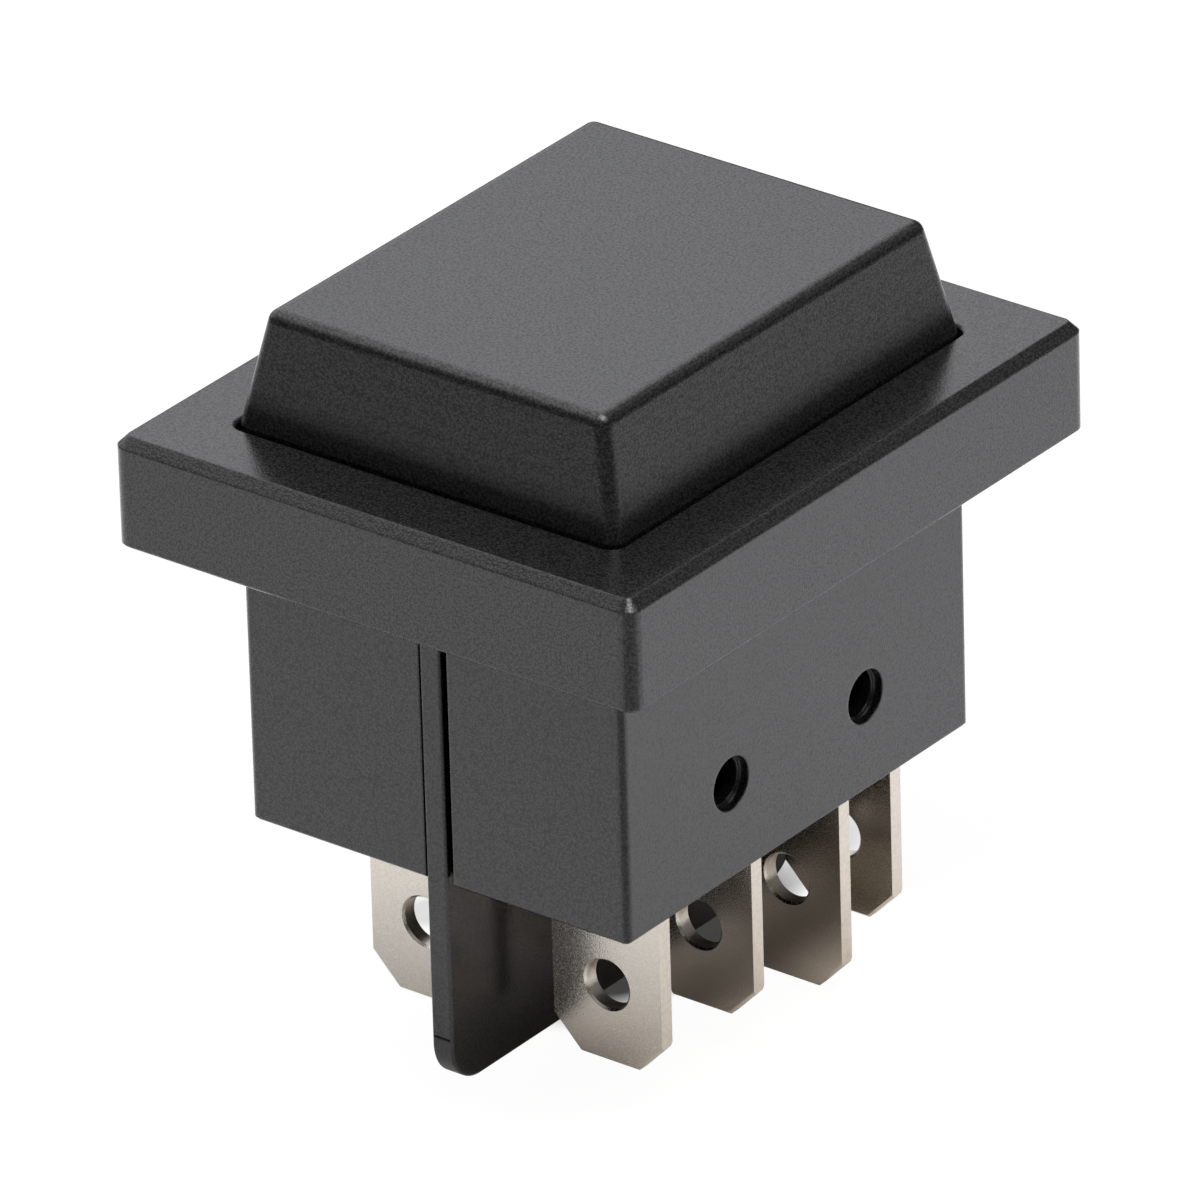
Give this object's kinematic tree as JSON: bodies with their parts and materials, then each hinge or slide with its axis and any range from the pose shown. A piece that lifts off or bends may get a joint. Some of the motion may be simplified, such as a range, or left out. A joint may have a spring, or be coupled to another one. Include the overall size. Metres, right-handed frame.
{
  "type": "panel rocker switch",
  "caption": "Panel-mounted rocker main switch with a tapered cap in a rectangular bezel, a boxy body and push-on tabs either side of a barrier plate.",
  "frame": {"origin": "middle of the panel cut-out, on the plane of the bezel's underside", "axes": "+Z out of the panel towards the user, Y along the way the cap rocks, X along the cap's pivot"},
  "size_m": [0.03, 0.035, 0.0385],
  "materials": {
    "bezel_plastic": "satin moulded",
    "body_plastic": "satin moulded",
    "barrier_plastic": "satin moulded",
    "rocker_plastic": "fine grained satin",
    "tab_plating": "matt tin plating on brass",
    "bridge_brass": "bare stamped",
    "contact_silver": "silver alloy",
    "plunger_plastic": "natural moulded",
    "spring_steel": "drawn wire"
  },
  "bodies": {
    "frame": {"bezel_frame": "bezel_plastic", "housing": "body_plastic", "barrier_plate": "barrier_plastic", "throw_tab_left": "tab_plating", "common_tab_left": "tab_plating", "double_tab_left": "tab_plating", "fixed_contact_front_left": "contact_silver", "fixed_contact_rear_left": "contact_silver", "throw_tab_right": "tab_plating", "common_tab_right": "tab_plating", "double_tab_right": "tab_plating", "fixed_contact_front_right": "contact_silver", "fixed_contact_rear_right": "contact_silver"},
    "rocker": {"rocker": "rocker_plastic", "plunger_spring_left": "spring_steel", "plunger_spring_right": "spring_steel"},
    "bridge_left": {"contact_bridge_left": "bridge_brass", "moving_contact_front_left": "contact_silver", "moving_contact_rear_left": "contact_silver"},
    "plunger_left": {"plunger_left": "plunger_plastic"},
    "bridge_right": {"contact_bridge_right": "bridge_brass", "moving_contact_front_right": "contact_silver", "moving_contact_rear_right": "contact_silver"},
    "plunger_right": {"plunger_right": "plunger_plastic"}
  },
  "joints": [
    {"name": "rocker_tilt", "type": "hinge", "parent": "frame", "child": "rocker", "pos_m": [0, 0, 0.0034], "axis": [1, 0, 0], "range_deg": [-9, 9]},
    {"name": "bridge_tilt_left", "type": "hinge", "parent": "frame", "child": "bridge_left", "pos_m": [-0.00535, -0.0002, -0.00993], "axis": [1, 0, 0], "range_deg": [-7.65, 7.65]},
    {"name": "plunger_slide_left", "type": "slide", "parent": "rocker", "child": "plunger_left", "axis": [0, 0, 1], "range_m": [0, 0.001], "stiffness_N_per_m": 400, "springref_m": -0.003, "deforming": ["plunger_spring_left"]},
    {"name": "bridge_tilt_right", "type": "hinge", "parent": "frame", "child": "bridge_right", "pos_m": [0.00535, -0.0002, -0.00993], "axis": [1, 0, 0], "range_deg": [-7.65, 7.65]},
    {"name": "plunger_slide_right", "type": "slide", "parent": "rocker", "child": "plunger_right", "axis": [0, 0, 1], "range_m": [0, 0.001], "stiffness_N_per_m": 400, "springref_m": -0.003, "deforming": ["plunger_spring_right"]}
  ],
  "couplings": [
    {"joint": "bridge_tilt_left", "follows": "rocker_tilt", "ratio": -0.85},
    {"joint": "bridge_tilt_right", "follows": "rocker_tilt", "ratio": -0.85}
  ]
}
